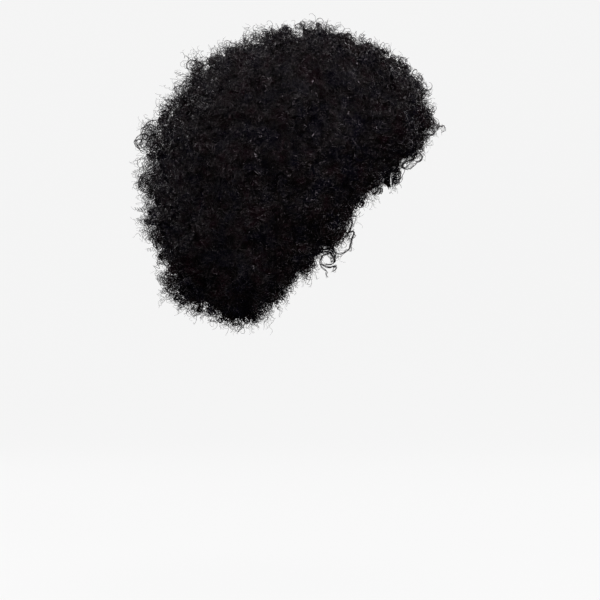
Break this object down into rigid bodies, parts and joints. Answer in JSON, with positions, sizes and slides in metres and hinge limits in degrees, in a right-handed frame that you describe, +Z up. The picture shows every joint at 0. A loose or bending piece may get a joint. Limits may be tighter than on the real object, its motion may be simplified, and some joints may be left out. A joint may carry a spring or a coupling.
{
  "type": "afro wig",
  "caption": "Full round afro wig of tight black curls on a hollow stretch cap, open at the face and neck.",
  "frame": {"origin": "highest point inside the cap, where the wig sits on the crown of a head", "axes": "+Z up, the wearer looks along -Y, +X to the wearer's left ear"},
  "size_m": [0.3311, 0.3484, 0.355],
  "materials": {
    "curly_fibre": "soft sheen, tight springy curls of black synthetic fibre",
    "cap_net": "matte black stretch net"
  },
  "bodies": {
    "root": {"wig_cap": "cap_net", "front_hair": "curly_fibre", "crown_hair": "curly_fibre", "back_hair": "curly_fibre", "nape_hair": "curly_fibre", "left_side_hair": "curly_fibre", "right_side_hair": "curly_fibre"}
  },
  "joints": []
}
